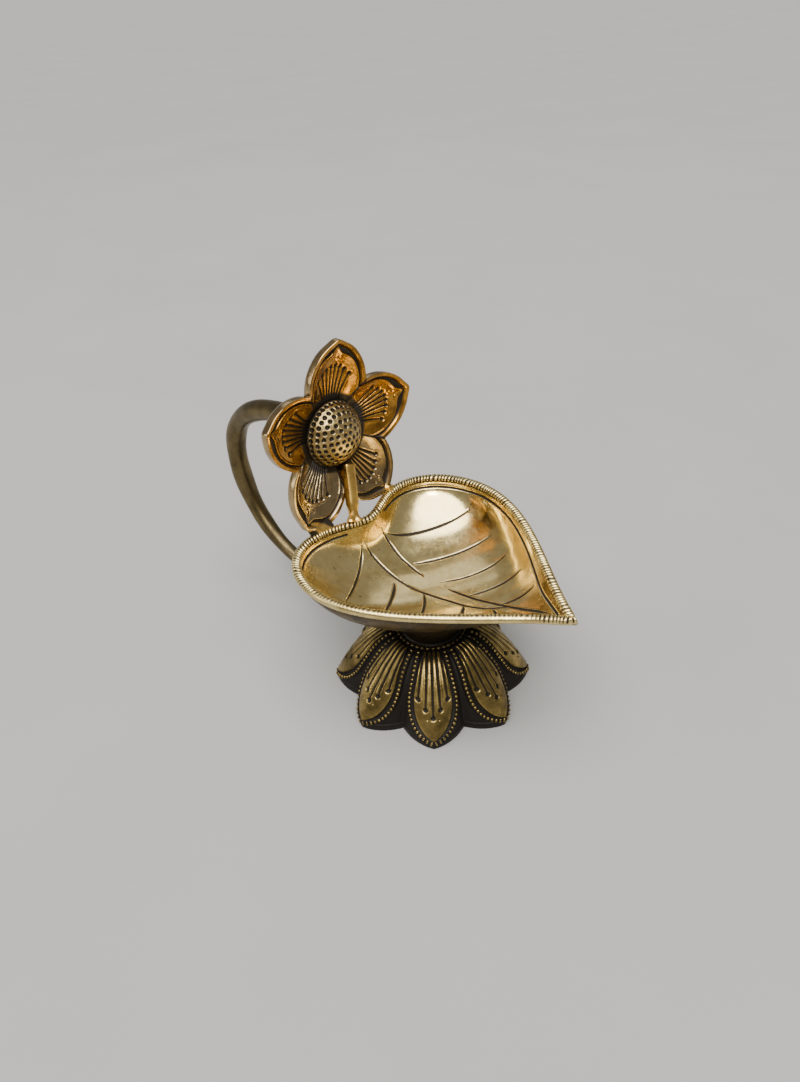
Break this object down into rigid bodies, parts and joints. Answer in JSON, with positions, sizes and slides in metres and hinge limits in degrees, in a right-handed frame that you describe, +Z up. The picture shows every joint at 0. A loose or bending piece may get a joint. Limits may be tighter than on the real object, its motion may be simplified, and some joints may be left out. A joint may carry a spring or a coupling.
{
  "type": "standing oil lamp",
  "caption": "Leaf-shaped brass oil bowl on a hollow lotus foot, with an upright cupped flower at the notch and a finger-loop handle behind.",
  "frame": {"origin": "middle of the lotus foot on the table plane", "axes": "+X towards the leaf's tip, +Z up, handle towards -X"},
  "size_m": [0.154, 0.079, 0.1135],
  "materials": {
    "foot_brass": "cast, dark antique patina with rubbed high spots",
    "neck_brass": "turned, dark antique patina",
    "bowl_brass": "cast, polished inside, engraved",
    "stem_brass": "filed and satin",
    "flower_brass": "cast, polished faces with dark recesses",
    "dome_brass": "punched, dark in the dimples",
    "handle_brass": "satin, browned",
    "fastener_brass": "turned, plain"
  },
  "bodies": {
    "root": {"lotus_base": "foot_brass", "neck_spool": "neck_brass", "leaf_bowl": "bowl_brass", "leaf_stem": "stem_brass", "flower": "flower_brass", "flower_centre": "dome_brass", "petal_lugs": "stem_brass", "handle": "handle_brass", "centre_stud": "fastener_brass", "stud_washer": "fastener_brass", "stud_nut": "fastener_brass"}
  },
  "joints": []
}
